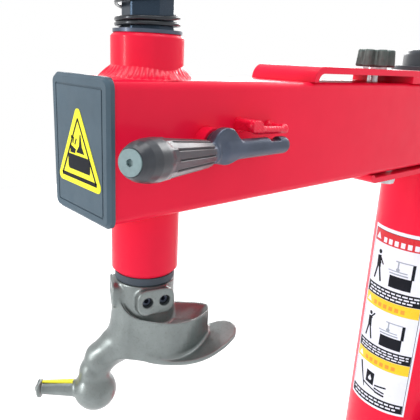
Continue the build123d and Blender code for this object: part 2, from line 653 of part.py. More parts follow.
def head_casting():
    neck = [(Vector(-7, -8, HEAD_RIM - 64), 23.0), (Vector(-28, -10, BILL_Z - 1), 16.5),
            (Vector(-48, -11.5, HEAD_RIM - 97), 15.0), (BALL_C, BALL_R)]
    casting = head_socket() + head_wall() + head_bill()
    for pad in screw_pads():
        casting += pad
    return casting + limb_chain(neck) + head_peg()


def peg_guard():
    """Plastic rim guard along the upper side of the peg."""
    plane = Plane(origin=BALL_C + PEG_DIR * 23.0, z_dir=PEG_DIR)
    sleeve = plane * Cone(9.7, 8.2, PEG_LENGTH - 25.5, align=BASE)
    upper_side = Pos(*BALL_C) * Pos(-40, 8, 10.0) * Box(60, 26, 14)
    return sleeve & upper_side


def screw_places():
    for turn in PAD_TURNS:
        for side in (-SCREW_SIDE, SCREW_SIDE):
            yield Rot(0, 0, turn) * Pos(side, -14.0, PAD_Z) * Rot(90, 0, 0)


casting = head_casting()
duck_head = casting - rod(SPIGOT_R + SEAT, SPIGOT_BOTTOM, HEAD_RIM + 1)
duck_head -= rod(HEAD_BOLT_D / 2 + 1.0, HEAD_BOTTOM - 40, HEAD_RIM)
duck_head -= rod(12.5, HEAD_BOTTOM - 60, HEAD_BOTTOM + 2.0)
screws = []
for place in screw_places():
    duck_head -= place * Cylinder(SCREW_D / 2, 30, align=BASE)
    screws.append(place * Pos(0, 0, 3.5) * socket_screw(SCREW_D - 2 * SEAT, 11.0))

nodes["duck_head"] = on_bar(duck_head)
nodes["peg_guard"] = on_bar(peg_guard() - casting)
nodes["set_screws"] = on_bar(Compound(children=screws))
nodes["head_washer"] = on_bar(tube(12.0, HEAD_BOLT_D / 2 + 0.2, HEAD_BOTTOM - 1.0, HEAD_BOTTOM + 2.0))
nodes["head_bolt"] = on_bar(Pos(0, 0, HEAD_BOTTOM - 1.0) * hex_bolt(HEAD_BOLT_D, 40.0, 17.0, 6.4))

os.makedirs("parts", exist_ok=True)
for name, shape in nodes.items():
    export_step(shape, f"parts/{name}.step")
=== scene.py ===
import json
import math

import bmesh
import bpy
import numpy as np
from mathutils import Matrix, Vector


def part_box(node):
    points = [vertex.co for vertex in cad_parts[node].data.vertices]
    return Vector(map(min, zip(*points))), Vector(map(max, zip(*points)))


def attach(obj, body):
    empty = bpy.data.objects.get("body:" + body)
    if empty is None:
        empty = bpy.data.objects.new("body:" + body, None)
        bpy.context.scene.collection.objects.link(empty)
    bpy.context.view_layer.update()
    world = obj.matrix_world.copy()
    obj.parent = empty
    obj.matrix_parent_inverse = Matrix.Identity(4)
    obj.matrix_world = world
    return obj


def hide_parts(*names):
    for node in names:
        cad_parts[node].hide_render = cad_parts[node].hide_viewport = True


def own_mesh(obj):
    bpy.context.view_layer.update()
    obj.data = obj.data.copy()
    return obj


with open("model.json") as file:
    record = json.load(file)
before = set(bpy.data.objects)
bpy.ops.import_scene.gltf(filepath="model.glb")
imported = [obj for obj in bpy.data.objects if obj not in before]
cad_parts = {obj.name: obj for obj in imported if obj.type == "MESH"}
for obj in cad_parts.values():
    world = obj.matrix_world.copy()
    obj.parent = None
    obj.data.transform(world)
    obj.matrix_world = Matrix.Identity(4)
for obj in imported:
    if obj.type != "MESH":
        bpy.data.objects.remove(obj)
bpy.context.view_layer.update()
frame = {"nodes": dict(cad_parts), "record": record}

MM = 0.001

# ---- places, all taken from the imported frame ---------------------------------
beam_lo, beam_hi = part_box("arm_beam")
bar_lo, bar_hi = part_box("hex_bar")
tube_lo, tube_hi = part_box("guide_tube")
cap_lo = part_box("end_cap")[0]
HEX = Vector(((bar_lo[0] + bar_hi[0]) / 2, (bar_lo[1] + bar_hi[1]) / 2))
ARM_TOP = beam_hi[2]
ARM_BOTTOM = beam_lo[2]
ARM_SIDE = beam_lo[1]
HEAD_TURN = math.radians(-42.0)
SLEEVE_BOTTOM = tube_lo[2]

# ---- small node helpers ------------------------------------------------------


def new_material(name):
    material = bpy.data.materials.new(name)
    material.use_nodes = True
    tree = material.node_tree
    shader = tree.nodes["Principled BSDF"]
    coords = tree.nodes.new("ShaderNodeTexCoord")
    return material, tree, shader, coords.outputs["Object"]


def noise(tree, coords, scale, detail, roughness=0.55):
    node = tree.nodes.new("ShaderNodeTexNoise")
    node.inputs["Scale"].default_value = scale
    node.inputs["Detail"].default_value = detail
    node.inputs["Roughness"].default_value = roughness
    tree.links.new(coords, node.inputs["Vector"])
    return node.outputs["Fac"]


def ramp(tree, value, stops):
    node = tree.nodes.new("ShaderNodeValToRGB")
    while len(node.color_ramp.elements) < len(stops):
        node.color_ramp.elements.new(0.5)
    for element, (position, colour) in zip(node.color_ramp.elements, stops):
        element.position = position
        element.color = (*colour, 1.0)
    tree.links.new(value, node.inputs["Fac"])
    return node.outputs["Color"]


def to_range(tree, value, low, high, from_low=0.3, from_high=0.7):
    node = tree.nodes.new("ShaderNodeMapRange")
    node.inputs["From Min"].default_value = from_low
    node.inputs["From Max"].default_value = from_high
    node.inputs["To Min"].default_value = low
    node.inputs["To Max"].default_value = high
    tree.links.new(value, node.inputs["Value"])
    return node.outputs["Result"]


def mix(tree, factor, a, b):
    node = tree.nodes.new("ShaderNodeMix")
    node.data_type = "RGBA"
    for socket, value in ((node.inputs[0], factor), (node.inputs[6], a), (node.inputs[7], b)):
        if isinstance(value, (int, float)):
            socket.default_value = value
        elif isinstance(value, tuple):
            socket.default_value = (*value, 1.0)
        else:
            tree.links.new(value, socket)
    return node.outputs[2]


def bump(tree, height, strength, distance, normal=None):
    node = tree.nodes.new("ShaderNodeBump")
    node.inputs["Strength"].default_value = strength
    node.inputs["Distance"].default_value = distance
    tree.links.new(height, node.inputs["Height"])
    if normal is not None:
        tree.links.new(normal, node.inputs["Normal"])
    return node.outputs["Normal"]


def soft_edges(tree, radius):
    """Shading normal that rounds sharp edges by a small radius."""
    node = tree.nodes.new("ShaderNodeBevel")
    node.samples = 4
    node.inputs["Radius"].default_value = radius
    return node.outputs["Normal"]


def shades(colour, amount):
    """A darker and a lighter shade of a colour."""
    dark = tuple(c * (1 - amount) for c in colour)
    light = tuple(min(1.0, c * (1 + amount) + 0.01 * amount) for c in colour)
    return dark, light


def surface(name, colour, rough, metal=0.0, coat=0.0, coat_rough=0.05, tint=0.10, tint_scale=14.0,
            rough_range=0.06, rough_scale=40.0, bumps=(), edge=0.0006, specular=0.5, grain=None):
    """A finished surface: colour variation, uneven gloss, and bump at one or more scales."""
    material, tree, shader, coords = new_material(name)
    dark, light = shades(colour, tint)
    cloud = noise(tree, coords, tint_scale, detail=5.0)
    base = ramp(tree, cloud, [(0.30, dark), (0.70, light)])
    if grain is not None:
        grain_scale, grain_colour, amount = grain
        speck = noise(tree, coords, grain_scale, detail=2.0, roughness=0.7)
        mask = to_range(tree, speck, 0.0, amount, 0.55, 0.68)
        base = mix(tree, mask, base, grain_colour)
    tree.links.new(base, shader.inputs["Base Color"])
    uneven = noise(tree, coords, rough_scale, detail=4.0)
    gloss = to_range(tree, uneven, rough - rough_range, rough + rough_range)
    tree.links.new(gloss, shader.inputs["Roughness"])
    shader.inputs["Metallic"].default_value = metal
    shader.inputs["Coat Weight"].default_value = coat
    shader.inputs["Coat Roughness"].default_value = coat_rough
    shader.inputs["Specular IOR Level"].default_value = specular
    normal = soft_edges(tree, edge) if edge else None
    for scale, strength, distance in bumps:
        height = noise(tree, coords, scale, detail=2.0)
        normal = bump(tree, height, strength, distance, normal)
    if normal is not None:
        tree.links.new(normal, shader.inputs["Normal"])
    return material


# ---- materials ---------------------------------------------------------------
RED = (0.78, 0.006, 0.040)
PEEL = (320.0, 0.10, 0.0004)
WAVE = (16.0, 0.05, 0.004)
SHEET = (60.0, 0.05, 0.0010)


def printed(name, colour, tint=0.04):
    """Smooth printed sheet."""
    return surface(name, colour, 0.30, coat=0.08, tint=tint, tint_scale=30.0, bumps=(SHEET,), edge=0.0,
                   specular=0.25)


materials = {
    "red_paint": surface("red_paint", RED, 0.36, coat=0.12, coat_rough=0.10, tint=0.05, tint_scale=9.0,
                         bumps=(WAVE, PEEL), edge=0.0012, specular=0.14),
    "red_weld": surface("red_weld", RED, 0.30, coat=0.3, coat_rough=0.08, tint=0.08, tint_scale=60.0,
                        bumps=((180.0, 0.35, 0.0012), PEEL), edge=0.0, specular=0.3),
    "cap_plastic": surface("cap_plastic", (0.042, 0.078, 0.108), 0.46, tint=0.10, tint_scale=22.0,
                           rough_range=0.08, bumps=((900.0, 0.25, 0.0002),), edge=0.0008),
    "black_plastic": surface("black_plastic", (0.016, 0.020, 0.028), 0.36, tint=0.15, rough_range=0.08,
                             bumps=((1100.0, 0.22, 0.0002),), edge=0.0008),
    "grey_plastic": surface("grey_plastic", (0.17, 0.25, 0.26), 0.50, tint=0.12, tint_scale=160.0,
                            bumps=((1200.0, 0.25, 0.0002),), edge=0.0005),
    "yellow_plastic": surface("yellow_plastic", (0.80, 0.72, 0.02), 0.38, tint=0.08,
                              bumps=((900.0, 0.2, 0.0002),), edge=0.0004),
    "rubber": surface("rubber", (0.030, 0.042, 0.058), 0.55, tint=0.2, tint_scale=50.0,
                      bumps=((700.0, 0.3, 0.0003),), edge=0.0008),
    "cast_steel": surface("cast_steel", (0.225, 0.25, 0.245), 0.38, metal=0.82, tint=0.16, tint_scale=28.0,
                          rough_range=0.10, rough_scale=55.0, edge=0.0,
                          bumps=((45.0, 0.12, 0.003), (260.0, 0.10, 0.0006)),
                          grain=(420.0, (0.15, 0.16, 0.155), 0.35)),
    "star_cast": surface("star_cast", (0.085, 0.112, 0.105), 0.55, metal=0.6, tint=0.3, tint_scale=60.0,
                         rough_range=0.15, bumps=((240.0, 0.4, 0.0012),), edge=0.0),
    "bar_steel": surface("bar_steel", (0.026, 0.042, 0.064), 0.32, metal=0.85, tint=0.2, tint_scale=24.0,
                         rough_range=0.10, bumps=((500.0, 0.12, 0.0003),), edge=0.0010),
    "lever_steel": surface("lever_steel", (0.060, 0.074, 0.108), 0.36, metal=0.6, coat=0.15, tint=0.2,
                           tint_scale=40.0, rough_range=0.10, edge=0.0,
                           bumps=((140.0, 0.18, 0.0008), (700.0, 0.15, 0.0003))),
    "spring_steel": surface("spring_steel", (0.030, 0.034, 0.040), 0.30, metal=0.7, coat=0.4, tint=0.2,
                            bumps=((600.0, 0.15, 0.0002),), edge=0.0),
    "machined_steel": surface("machined_steel", (0.52, 0.53, 0.54), 0.26, metal=1.0, tint=0.06,
                              bumps=((800.0, 0.12, 0.0002),), edge=0.0006),
    "zinc_steel": surface("zinc_steel", (0.60, 0.60, 0.62), 0.30, metal=1.0, tint=0.14, tint_scale=90.0,
                          rough_range=0.10, bumps=((600.0, 0.15, 0.0002),), edge=0.0006,
                          grain=(300.0, (0.35, 0.26, 0.18), 0.35)),
    "bronze": surface("bronze", (0.55, 0.38, 0.17), 0.38, metal=1.0, tint=0.12,
                      bumps=((900.0, 0.2, 0.0002),), edge=0.0005),
    "label_white": printed("label_white", (0.76, 0.78, 0.88), tint=0.03),
    "label_yellow": printed("label_yellow", (0.90, 0.84, 0.015)),
    "label_amber": printed("label_amber", (0.86, 0.56, 0.02)),
    "label_red": printed("label_red", (0.60, 0.02, 0.03), tint=0.05),
    "label_ink": surface("label_ink", (0.008, 0.009, 0.014), 0.44, tint=0.2, tint_scale=40.0,
                         bumps=(SHEET,), edge=0.0, specular=0.10),
    "label_orange": printed("label_orange", (0.88, 0.30, 0.03)),
    "grip_plastic": surface("grip_plastic", (0.018, 0.022, 0.030), 0.34, coat=0.12, coat_rough=0.15,
                            tint=0.2, tint_scale=60.0, rough_range=0.07, edge=0.0,
                            bumps=((900.0, 0.22, 0.0002),)),
    "label_grey": surface("label_grey", (0.30, 0.34, 0.40), 0.34, coat=0.3, tint=0.1, tint_scale=40.0,
                          bumps=(SHEET,), edge=0.0),
}
slot_material = dict(materials)
slot_material["label_face"] = materials["label_white"]

node_slot = {part["node"]: part["material_slot"] for part in frame["record"]["subparts"]}
for node, obj in frame["nodes"].items():
    obj.data.materials.clear()
    obj.data.materials.append(slot_material[node_slot[node]])

# ---- fields: solids written as signed distances, in millimetres ---------------


def blend_min(a, b, k):
    """Union of two solids with a fillet of about k."""
    h = np.clip(0.5 + 0.5 * (b - a) / k, 0.0, 1.0)
    return b * (1 - h) + a * h - k * h * (1 - h)


def blend_max(a, b, k):
    """Intersection of two solids with a rounded edge of about k."""
    return -blend_min(-a, -b, k)


def ball(p, centre, r):
    return np.linalg.norm(p - np.array(centre), axis=-1) - r


def limb(p, a, b, ra, rb):
    """Round bar from a to b with ball ends; its radius goes from ra to rb."""
    a, b = np.array(a, float), np.array(b, float)
    along = b - a
    t = np.clip(((p - a) @ along) / (along @ along), 0.0, 1.0)
    return np.linalg.norm(p - a - t[..., None] * along, axis=-1) - (ra + (rb - ra) * t)


def drum(p, centre, axis, r, half, edge):
    """Round bar about an axis, with rounded rims."""
    q = p - np.array(centre, float)
    axis = np.array(axis, float) / np.linalg.norm(axis)
    h = q @ axis
    radial = np.linalg.norm(q - h[..., None] * axis, axis=-1)
    dx = radial - r + edge
    dy = np.abs(h) - half + edge
    outside = np.hypot(np.maximum(dx, 0), np.maximum(dy, 0))
    return outside + np.minimum(np.maximum(dx, dy), 0) - edge


def slab(p, centre, half, edge):
    """Box with rounded edges."""
    d = np.abs(p - np.array(centre, float)) - np.array(half, float) + edge
    return np.linalg.norm(np.maximum(d, 0), axis=-1) + np.minimum(d.max(-1), 0) - edge


def outline(p, points, edge):
    """Distance to a closed outline in X and Y, negative inside, corners rounded by edge."""
    x, y = p[..., 0], p[..., 1]
    best = np.full(x.shape, 1e9)
    sign = np.ones(x.shape)
    for (ax, ay), (bx, by) in zip(points, points[1:] + points[:1]):
        ex, ey = bx - ax, by - ay
        wx, wy = x - ax, y - ay
        t = np.clip((wx * ex + wy * ey) / (ex * ex + ey * ey), 0, 1)
        best = np.minimum(best, (wx - ex * t) ** 2 + (wy - ey * t) ** 2)
        up = (ay <= y) & (by > y)
        down = (ay > y) & (by <= y)
        side = ex * wy - ey * wx
        sign = np.where((up & (side > 0)) | (down & (side < 0)), -sign, sign)
    return np.sqrt(best) * sign - edge


def surface_net(field, low, high, step):
    """Closed mesh of the zero surface of a field: one vertex per crossed cell, quads between them."""
    axes = [np.arange(lo, hi + step, step) for lo, hi in zip(low, high)]
    grid = np.stack(np.meshgrid(*axes, indexing="ij"), -1)
    value = field(grid)
    inside = value < 0
    shape = tuple(n - 1 for n in value.shape)
    total = np.zeros(shape + (3,))
    count = np.zeros(shape)
    corners = [(i, j, k) for i in (0, 1) for j in (0, 1) for k in (0, 1)]
    for a in corners:
        for axis in range(3):
            if a[axis]:
                continue
            b = tuple(v + (n == axis) for n, v in enumerate(a))
            sa = tuple(slice(v, v + n) for v, n in zip(a, shape))
            sb = tuple(slice(v, v + n) for v, n in zip(b, shape))
            va, vb = value[sa], value[sb]
            crossed = inside[sa] != inside[sb]
            t = np.where(crossed, va / np.where(crossed, va - vb, 1.0), 0.0)
            point = np.array(a, float) + t[..., None] * np.array([n == axis for n in range(3)], float)
            total += np.where(crossed[..., None], point, 0.0)
            count += crossed
    used = count > 0
    index = np.full(shape, -1)
    index[used] = np.arange(used.sum())
    where = np.argwhere(used)
    verts = np.array(low) + step * (where + total[used] / count[used][:, None])
    quads = []
    for axis in range(3):
        u, v = [(1, 2), (2, 0), (0, 1)][axis]
        near = [slice(1, n) for n in shape]
        near[axis] = slice(0, shape[axis])
        far = list(near)
        far[axis] = slice(1, shape[axis] + 1)
        first = inside[tuple(near)]
        second = inside[tuple(far)]
        changed = np.argwhere(first != second)
        cell = changed + np.array([part.start for part in near])
        step_u = np.eye(3, dtype=int)[u]
        step_v = np.eye(3, dtype=int)[v]
        ring = [cell - step_u - step_v, cell - step_v, cell, cell - step_u]
        ids = np.stack([index[tuple(c.T)] for c in ring], 1)
        flip = ~first[tuple(changed.T)]
        ids[flip] = ids[flip][:, ::-1]
        quads.append(ids)
    verts = settle(field, verts, step)
    return verts, np.concatenate(quads)


def settle(field, verts, step):
    """Moves the points onto the field's surface along its slope."""
    e = step * 0.2
    for _ in range(2):
        value = field(verts)
        slope = np.stack([(field(verts + d) - field(verts - d)) / (2 * e) for d in np.eye(3) * e], -1)
        size = np.maximum((slope ** 2).sum(-1), 0.05)
        move = -(value / size)[:, None] * slope
        reach = np.linalg.norm(move, axis=1, keepdims=True)
        verts = verts + move * np.minimum(1.0, 0.5 * step / np.maximum(reach, 1e-9))
    return verts


def mesh_piece(name, verts, faces, material, place=None, smooth=True):
    """New object from points and faces, moved into the shared frame by place."""
    mesh = bpy.data.meshes.new(name)
    mesh.from_pydata([tuple(v) for v in verts], [], [tuple(f) for f in faces])
    mesh.validate()
    if place is not None:
        mesh.transform(place)
    mesh.polygons.foreach_set("use_smooth", [smooth] * len(mesh.polygons))
    mesh.materials.append(material)
    obj = bpy.data.objects.new(name, mesh)
    bpy.context.collection.objects.link(obj)
    return obj


def cast_piece(name, field, low, high, step, material, place):
    """New object from a field; the box from low to high has to reach past the solid on every side."""
    verts, faces = surface_net(field, low, high, step)
    return mesh_piece(name, verts, faces, material, place @ Matrix.Scale(MM, 4))


def swept_wire(name, points, radius, material):
    """Round wire along a list of points, closed at both ends."""
    sides = 14
    points = [Vector(p) for p in points]
    verts, faces = [], []
    up = Vector((0, 0, 1))
    for i, p in enumerate(points):
        ahead = points[min(i + 1, len(points) - 1)] - points[max(i - 1, 0)]
        side = ahead.cross(up).normalized()
        over = side.cross(ahead).normalized()
        for k in range(sides):
            a = 2 * math.pi * k / sides
            verts.append(p + radius * (math.cos(a) * side + math.sin(a) * over))
    for i in range(len(points) - 1):
        for k in range(sides):
            n = (k + 1) % sides
            faces.append(((i + 1) * sides + k, (i + 1) * sides + n, i * sides + n, i * sides + k))
    faces.append(tuple(reversed(range(sides))))
    faces.append(tuple(range((len(points) - 1) * sides, len(points) * sides)))
    return mesh_piece(name, verts, faces, material)


# ---- camera ------------------------------------------------------------------
CAMERA_YAW = 0.733
CAMERA_DOWN = 0.290
CAMERA_ROLL = -0.050
CAMERA_BEYOND_END = 0.2014
CAMERA_FROM_SIDE = 0.3489
CAMERA_ABOVE_ARM = 0.0188
LENS = 43.23


def add_camera():
    eye = Vector((cap_lo[0] - CAMERA_BEYOND_END, ARM_SIDE - CAMERA_FROM_SIDE, ARM_TOP + CAMERA_ABOVE_ARM))
    sy, cy = math.sin(CAMERA_YAW), math.cos(CAMERA_YAW)
    sp, cp = math.sin(CAMERA_DOWN), math.cos(CAMERA_DOWN)
    ahead = Vector((sy * cp, cy * cp, -sp))
    right = Vector((cy, -sy, 0))
    down = ahead.cross(right)
    sr, cr = math.sin(CAMERA_ROLL), math.cos(CAMERA_ROLL)
    right, down = cr * right + sr * down, -sr * right + cr * down
    data = bpy.data.cameras.new("camera")
    data.lens = LENS
    data.sensor_width = 36.0
    data.clip_start = 0.01
    data.clip_end = 50.0
    camera = bpy.data.objects.new("camera", data)
    basis = Matrix((right, -down, -ahead)).transposed().to_4x4()
    camera.matrix_world = Matrix.Translation(eye) @ basis
    bpy.context.collection.objects.link(camera)
    bpy.context.scene.camera = camera


add_camera()

# ---- mounting head -----------------------------------------------------------
HEAD_PLACE = Matrix.Translation((HEX.x, HEX.y, 0)) @ Matrix.Rotation(HEAD_TURN, 4, "Z")
RING_SPACE = 9.0           # room for the dark ring between the sleeve and the socket
HEAD_RIM = SLEEVE_BOTTOM / MM - RING_SPACE
SOCKET_R = 30.0
SPIGOT_BORE_R = 15.2
RIDGE_Z = HEAD_RIM - 33.0
BOWL_DEPTH = 12.0
WALL_EDGE = 1.2
BILL_Z = HEAD_RIM - 78.0
BILL_CORNER = 10.0
PAD_Z = HEAD_RIM - 15.0
PAD_REACH = 28.5           # from the bar's axis to the middle of a pad
PAD_TURNS = (math.radians(28.0), math.radians(-74.0))
PAD_CORNER = 10.0
SCREW_OFFSET = 8.7
SCREW_HOLE_R = 5.2
PEG = np.array((-1.0, -0.08, 0.0)) / math.hypot(1.0, 0.08)
BALL = np.array((-50.5, -12.0, HEAD_RIM - 130.0))
BALL_R = 22.3
PEG_END = BALL + 58.0 * PEG
NECK = [((-7, -8, HEAD_RIM - 62), 23.0), ((-27, -9, HEAD_RIM - 76), 18.0),
        ((-44, -10.5, HEAD_RIM - 92), 16.0), ((-50.5, -12, HEAD_RIM - 108), 15.4),
        ((-51, -12, HEAD_RIM - 120), 17.5)]


def arc_points(a, b, c, count):
    """Points on the smooth curve from a through b to c."""
    points = []
    for i in range(count + 1):
        t = i / count
        wa, wb, wc = (1 - t) * (1 - 2 * t), 4 * t * (1 - t), t * (2 * t - 1)
        points.append((a[0] * wa + b[0] * wb + c[0] * wc, a[1] * wa + b[1] * wb + c[1] * wc))
    return points


def head_wall(p):
    """Wall with a ridge that is level from its corner to the bill and climbs to the left pad."""
    x, y, z = p[..., 0], p[..., 1], p[..., 2]
    climb = 30.0 * np.clip((16.5 - x) / 44.5, 0.0, 1.0) ** 4
    plan = arc_points((-30, 8), (-25, -20), (-4, -32.5), 8)
    plan += arc_points((18.5, -37.0), (46.5, -32), (66, -6), 12)
    plan += [(65.5, 5), (59, 14), (40, 20), (20, 27), (-20, 21)]
    wall = outline(p, plan, WALL_EDGE)
    # behind the ridge the top dips like a bowl, and rises again to a round shoulder
    inside = np.clip(-wall - WALL_EDGE, 0.0, 30.0)
    open_side = np.clip((15.0 - y) / 22.0, 0.0, 1.0)
    dip = BOWL_DEPTH * (1.0 - np.exp(-inside / 5.5)) * open_side ** 1.3
    body = blend_max(wall, (z - RIDGE_Z - climb + dip) * 0.8, 1.2)
    body = blend_max(body, BILL_Z - 2.0 - z, 3.0)
    return blend_max(body, (y - 12.0) * 0.6 + (z - RIDGE_Z - 2.0) * 0.8, 6.0)


def head_bill(p):
    """Thin fan that curls up towards its tip."""
    x, y, z = p[..., 0], p[..., 1], p[..., 2]
    rise = 0.0040 * np.clip(x - 20, 0.0, 60.0) ** 2 + 0.36 * np.clip(x - 80, 0.0, 40.0)
    rise += 0.12 * (y + 38) * np.clip((x - 30) / 40, 0.0, 1.0)
    level = z - (BILL_Z + 3.0) - rise
    plan = [(20, -30)] + arc_points((27, -33), (62, -34), (83, -22), 10)
    plan += arc_points((86, -18), (85, -5), (75, 1), 8) + [(20, 6)]
    return blend_max(outline(p, plan, BILL_CORNER), np.abs(level) - 2.2, 2.0)


def head_neck(p):
    """Neck that narrows on its way down to the ball."""
    neck = ball(p, BALL, BALL_R)
    for (a, ra), (b, rb) in zip(NECK, NECK[1:]):
        neck = blend_min(neck, limb(p, a, b, ra, rb), 3.0)
    return neck


def head_pad(p, turn):
    """Rounded flat boss on the socket for a pair of set screws, facing outwards at its turn."""
    q = p - np.array((PAD_REACH * math.sin(turn), -PAD_REACH * math.cos(turn), PAD_Z))
    c, s = math.cos(-turn), math.sin(-turn)
    local = np.stack([q[..., 0] * c - q[..., 1] * s, q[..., 2], q[..., 0] * s + q[..., 1] * c], -1)
    pad = outline(local, [(-9, -3.5), (9, -3.5), (9, 3.5), (-9, 3.5)], PAD_CORNER)
    return blend_max(pad, np.abs(local[..., 2]) - 5.8, 2.2)


def screw_hole(p, turn, side):
    c, s = math.cos(turn), math.sin(turn)
    start = (side * c + 20 * s, side * s - 20 * c, PAD_Z)
    return drum(p, start, (s, -c, 0), SCREW_HOLE_R, 18.0, 0.2)


def head_field(p):
    """The casting: socket, wall, bill, neck, ball, pads and peg, with its holes cut last."""
    solid = drum(p, (0, 0, HEAD_RIM - 25), (0, 0, 1), SOCKET_R, 24.8, 1.6)
    solid = blend_min(solid, head_wall(p), 3.5)
    solid = blend_min(solid, head_bill(p), 5.0)
    solid = blend_min(solid, head_neck(p), 10.0)
    solid = blend_min(solid, limb(p, (-13, -6, HEAD_RIM - 26), (-16, -7, HEAD_RIM - 60), 17.5, 19.0), 6.0)
    for turn in PAD_TURNS:
        solid = blend_min(solid, head_pad(p, turn), 2.5)
    solid = blend_min(solid, limb(p, BALL, PEG_END - PEG, 10.3, 6.2), 3.0)
    solid = blend_min(solid, drum(p, PEG_END, PEG, 9.6, 2.0, 1.4), 1.5)
    for turn in PAD_TURNS:
        for side in (-SCREW_OFFSET, SCREW_OFFSET):
            solid = blend_max(solid, -screw_hole(p, turn, side), 2.0)
    bore = drum(p, (0, 0, HEAD_RIM - 20), (0, 0, 1), SPIGOT_BORE_R, 50.0, 0.2)
    return np.maximum(solid, -bore)


def add_head():
    step = 1.1
    low = (-130, -62, HEAD_RIM - 160)
    high = (110, 48, HEAD_RIM + 4)
    head = cast_piece("mounting_head", head_field, low, high, step, materials["cast_steel"], HEAD_PLACE)
    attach(head, "slide_bar")
    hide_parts("duck_head")


add_head()

# ---- return spring -----------------------------------------------------------
SEAT_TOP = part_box("spring_seat")[1][2]
WASHER_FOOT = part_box("spring_washer")[0][2]
SPRING_WIRE = 2.0 * MM
SPRING_R = 27.5 * MM
SPRING_TURNS = 17.0
SPRING_END_TURNS = 1.75
SPRING_STEPS = 40          # points per turn


def add_spring():
    """Closed end coils, then an even rise: the height follows the turn."""
    base = SEAT_TOP + SPRING_WIRE
    length = WASHER_FOOT - base - SPRING_WIRE
    dead = SPRING_END_TURNS
    live = SPRING_TURNS - 2 * dead
    tight = 2.05 * SPRING_WIRE
    rise = (length - 2 * dead * tight) / live
    points = []
    for i in range(int(SPRING_TURNS * SPRING_STEPS) + 1):
        turn = i / SPRING_STEPS
        low = min(turn, dead)
        middle = min(max(turn - dead, 0.0), live)
        high = max(turn - dead - live, 0.0)
        z = base + tight * (low + high) + rise * middle
        a = 2 * math.pi * turn
        points.append((HEX.x + SPRING_R * math.cos(a), HEX.y + SPRING_R * math.sin(a), z))
    spring = swept_wire("return_spring_coils", points, SPRING_WIRE, materials["spring_steel"])
    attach(spring, "swing_arm")
    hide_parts("return_spring")
    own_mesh(spring)


add_spring()

# ---- lock lever --------------------------------------------------------------
bush_lo, bush_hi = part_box("lever_bush_near")
LEVER_OUT = 0.0265         # from the beam's side to the middle of the lever's bar
LEVER_PIVOT = Vector(((bush_lo[0] + bush_hi[0]) / 2, ARM_SIDE - LEVER_OUT, (bush_lo[2] + bush_hi[2]) / 2))
HUB_R = 16.4
BOSS_R = 12.4
SHAFT_BORE_R = 10.1
PIN_R = 2.7
TAIL_END = 75.4
BAR_DROP = 4.0
LEVER_PLACE = Matrix.Translation(LEVER_PIVOT)
GRIP_HEEL = (-16.6, 0.0, -5.0)
GRIP_TURN = Matrix.Rotation(math.radians(22.0), 4, "Z") @ Matrix.Rotation(math.radians(4.9), 4, "Y")
GRIP_LENGTH = 119.0
GRIP_BARE = 9.0            # the bar shows between the hub and the grip


def in_grip(p):
    """Points seen from the grip's heel, with X running along the grip from its nose to its heel."""
    return (p - np.array(GRIP_HEEL)) @ np.array(GRIP_TURN.to_3x3())


def lever_field(p):
    """Thin disc and boss round the shaft, and the round bar across the front of them."""
    hub = drum(p, (0, 0.5, 0), (0, 1, 0), HUB_R, 4.8, 2.0)
    boss = drum(p, (0, 7.0, 0), (0, 1, 0), BOSS_R, 6.0, 1.0)
    body = blend_min(hub, boss, 2.0)
    flat = (p[..., 0] - 11.6) * 0.78 + (p[..., 2] - 10.4) * 0.62
    body = blend_max(body, flat, 1.2)
    tail = limb(p, (0, 0, -BAR_DROP), (TAIL_END, 0, -BAR_DROP), 9.3, 8.5)
    notch = slab(p, (TAIL_END - 14.0, 0, 4.6), (7.5, 14.0, 3.2), 0.8)
    tail = blend_max(tail, -notch, 0.8)
    q = in_grip(p)
    shank = limb(q, (-14, 0, 0), (7.5, 0, 0), 8.6, 9.2)
    ferrule = drum(q, (1.4, 0, 0), (1, 0, 0), 9.8, 1.5, 0.8)
    bar = blend_min(tail, blend_min(shank, ferrule, 1.2), 3.0)
    body = blend_min(body, bar, 4.5)
    pin = drum(p, (0, 9.0, 0), (0, 0, 1), PIN_R, 30.0, 0.2)
    body = blend_max(body, -pin, 0.5)
    bore = drum(p, (0, 13.0, 0), (0, 1, 0), SHAFT_BORE_R, 13.0, 0.2)
    return np.maximum(body, -bore)


# distance from the heel, and radius there
GRIP_PROFILE = [(0.0, 12.0), (30.0, 13.7), (60.0, 15.0), (80.0, 16.0), (92.0, 16.4), (102.0, 15.8),
                (110.0, 14.2), (116.0, 11.8), (119.0, 9.8)]
FACETS = 12
FACET_START = 90.0
SLOT_START = 80.0
SLOT_DEPTH = 2.2
SLOT_HALF = 0.75
SLOT_TURN = math.radians(117.6)
HEEL_ROUND = 2.5
PLUG_SEAT_R = 9.42


def grip_radius(x, angle):
    """Bulb at the nose; behind it flat facets taper to the heel, with a slot along every edge."""
    back = -x
    bulb = float(np.interp(back, [n[0] for n in GRIP_PROFILE], [n[1] for n in GRIP_PROFILE]))
    span = 2 * math.pi / FACETS
    across = ((angle - SLOT_TURN) % span) - span / 2
    r = bulb
    if back < FACET_START:
        flat = min(1.0, (FACET_START - back) / 6.0)
        r -= 1.6 * flat * bulb * (1.0 - math.cos(span / 2) / math.cos(across))
    if back < SLOT_START:
        edge = (span / 2 - abs(across)) * r
        r -= SLOT_DEPTH * min(1.0, (SLOT_START - back) / 1.5) * math.exp(-(edge / SLOT_HALF) ** 2)
    heel = back - GRIP_BARE
    if heel < HEEL_ROUND:
        r -= 0.6 * (HEEL_ROUND - heel)
    return r


